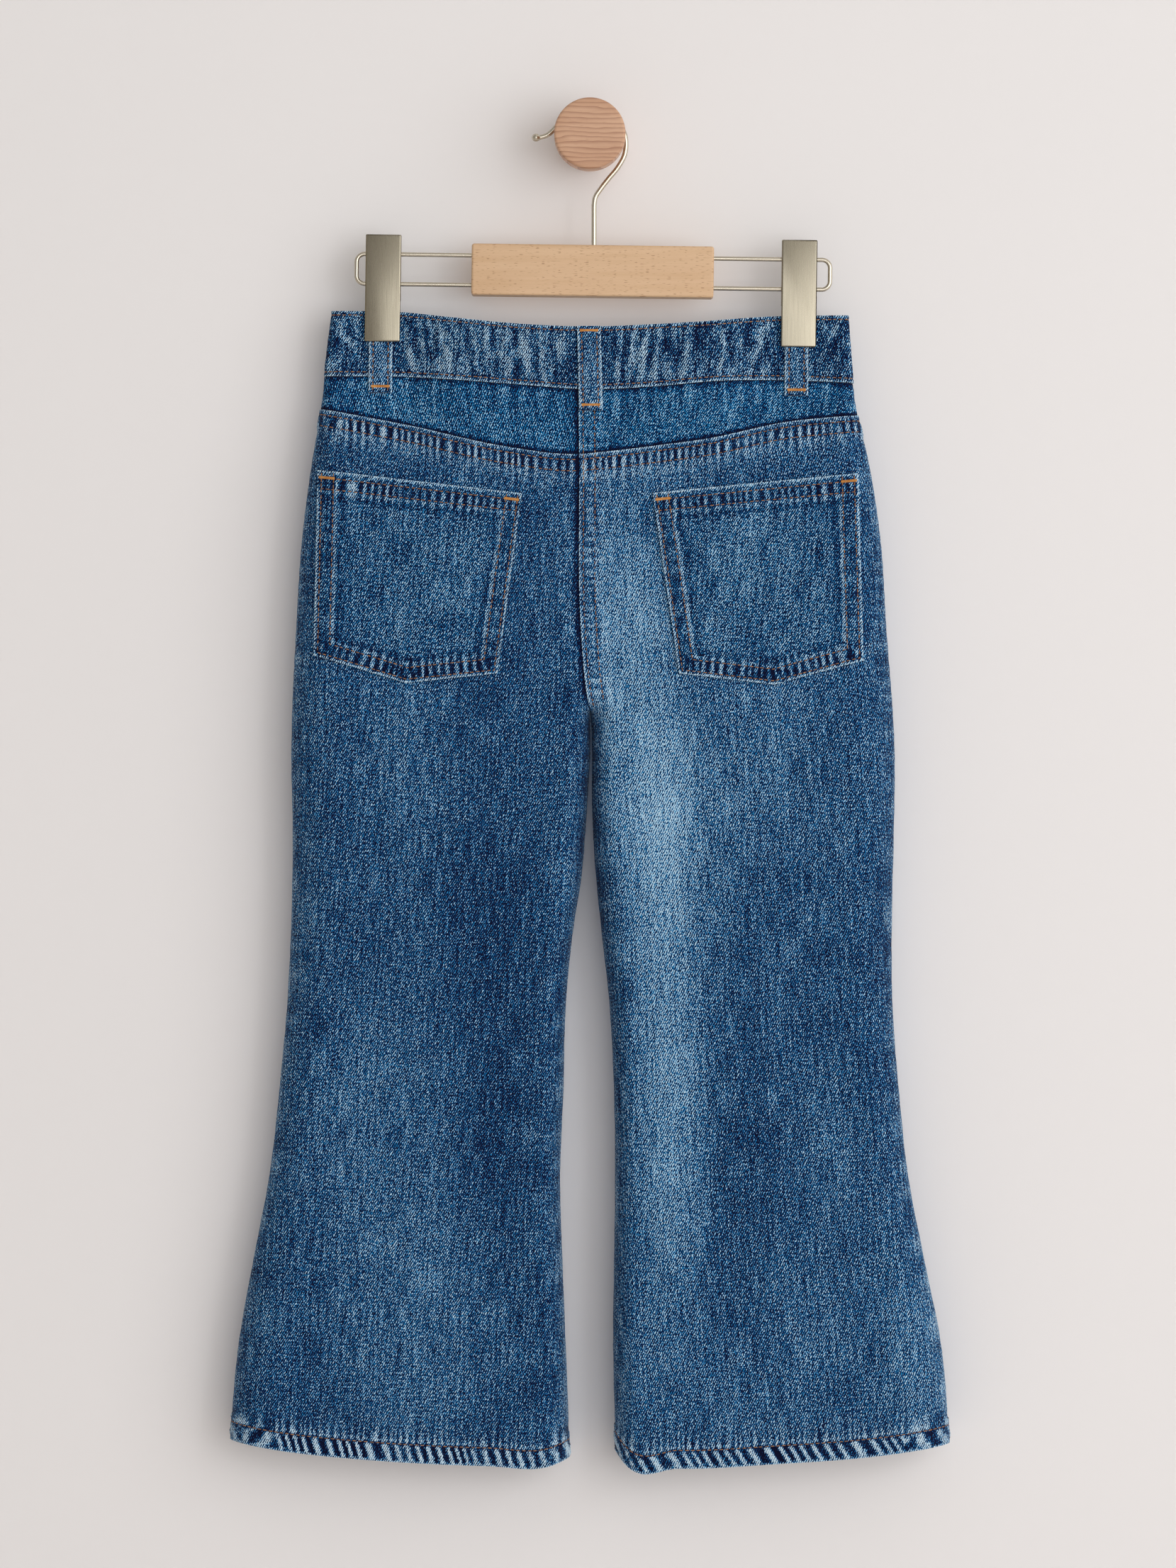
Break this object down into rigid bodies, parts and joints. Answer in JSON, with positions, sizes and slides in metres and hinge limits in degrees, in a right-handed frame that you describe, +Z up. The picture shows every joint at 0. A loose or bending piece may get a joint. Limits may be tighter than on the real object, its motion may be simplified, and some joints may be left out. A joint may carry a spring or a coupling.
{
  "type": "wide-leg jeans on a clip hanger and wall peg",
  "caption": "Wide-leg denim jeans hung flat by the waistband from a wood and wire clip hanger, its hook over a round wooden wall peg.",
  "frame": {"origin": "the middle of the wall peg's back face, on the wall plane", "axes": "+Z up; +Y into the wall, out of the peg's back face; the jeans' back faces -Y; +X is the wearer's right"},
  "size_m": [0.398, 0.05, 0.7555],
  "materials": {
    "denim": "mid blue twill, washed, with worn pale edges",
    "thread": "muted brown topstitch thread",
    "tack_thread": "bright orange bartack thread",
    "bar_wood": "pale beech with small flecks, satin",
    "peg_wood": "pinkish beech, plain grain, satin",
    "wire": "satin nickel wire",
    "clip_metal": "brushed warm nickel plate",
    "button_metal": "aged nickel, plain face"
  },
  "bodies": {
    "root": {"back_left": "denim", "back_right": "denim", "front_left": "denim", "front_right": "denim", "yoke_left": "denim", "yoke_right": "denim", "waistband": "denim", "back_pocket_left": "denim", "back_pocket_right": "denim", "loop_back_left": "denim", "loop_back_centre": "denim", "loop_back_right": "denim", "loop_front_left": "denim", "loop_front_right": "denim", "fly_placket": "denim", "waist_button": "button_metal", "wall_peg": "peg_wood", "hanger_hook": "wire", "hanger_bar": "bar_wood", "hanger_rail": "wire", "clip_left_front": "clip_metal", "clip_left_rear": "clip_metal", "clip_right_front": "clip_metal", "clip_right_rear": "clip_metal"}
  },
  "joints": []
}
